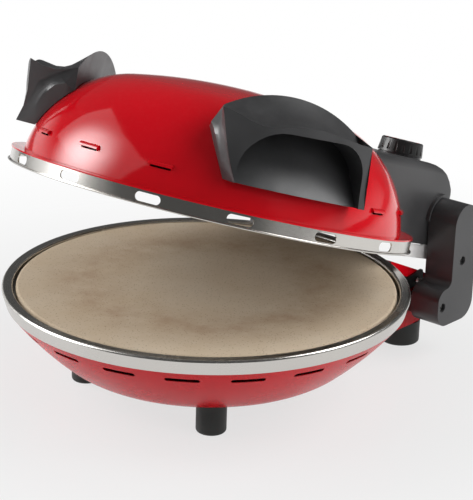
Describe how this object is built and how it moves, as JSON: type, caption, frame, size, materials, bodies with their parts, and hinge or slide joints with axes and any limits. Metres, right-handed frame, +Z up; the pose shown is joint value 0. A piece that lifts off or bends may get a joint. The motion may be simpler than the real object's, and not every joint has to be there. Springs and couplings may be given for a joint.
{
  "type": "electric pizza oven",
  "caption": "Countertop pizza oven: a red domed lid with scoop handles hinged on two arms over a stone-floored red bowl.",
  "frame": {"origin": "on the floor, under the middle of the oven's footprint", "axes": "+Z up, the front faces -Y, the lid's hinge runs along X at the back"},
  "size_m": [0.354, 0.411, 0.2883],
  "materials": {
    "red_paint": "gloss baked enamel",
    "polished_steel": "polished stainless",
    "bright_sheet": "aluminised sheet",
    "heater_sheath": "dull oxidised sheath",
    "stone": "matt refractory stone",
    "black_plastic": "satin moulded",
    "knob_plastic": "satin moulded",
    "switch_plastic": "plain moulded",
    "foot_rubber": "matt rubber",
    "screw_steel": "plated"
  },
  "bodies": {
    "base": {"base_bowl": "red_paint", "base_rim_ring": "polished_steel", "baking_stone": "stone", "lower_reflector": "bright_sheet", "lower_heater": "heater_sheath", "lower_heater_clips": "bright_sheet", "hinge_block": "red_paint", "hinge_block_cover": "black_plastic", "base_hinge_ears": "polished_steel", "ear_screws": "screw_steel", "hinge_arm_left": "black_plastic", "hinge_arm_right": "black_plastic", "arm_screws": "screw_steel", "pivot_pins": "screw_steel", "pin_clips": "screw_steel", "front_feet": "foot_rubber", "rear_feet": "foot_rubber", "foot_screws": "screw_steel"},
    "lid": {"lid_dome": "red_paint", "lid_band": "polished_steel", "upper_reflector": "bright_sheet", "upper_heater": "heater_sheath", "upper_heater_clips": "bright_sheet", "handle_left": "black_plastic", "handle_right": "black_plastic", "handle_screws": "screw_steel", "control_housing": "black_plastic", "housing_floor": "black_plastic", "housing_screws": "screw_steel", "lid_hinge_straps": "polished_steel", "strap_screws": "screw_steel", "thermostat": "switch_plastic", "timer": "switch_plastic", "terminal_block": "switch_plastic", "cord_gland": "foot_rubber"},
    "thermostat_dial": {"thermostat_knob": "knob_plastic", "thermostat_shaft": "screw_steel"},
    "timer_dial": {"timer_knob": "knob_plastic", "timer_shaft": "screw_steel"}
  },
  "joints": [
    {"name": "lid_hinge", "type": "hinge", "parent": "base", "child": "lid", "pos_m": [0, 0.1875, 0.1254], "axis": [-1, 0, 0], "range_deg": [-17.8, 68]},
    {"name": "thermostat_turn", "type": "hinge", "parent": "lid", "child": "thermostat_dial", "pos_m": [0.05, 0.17622, 0.17859], "axis": [0, -0.3057, -0.9521], "range_deg": [0, 270]},
    {"name": "timer_turn", "type": "hinge", "parent": "lid", "child": "timer_dial", "pos_m": [-0.05, 0.17622, 0.17859], "axis": [0, -0.3057, -0.9521], "range_deg": [0, 300]}
  ]
}
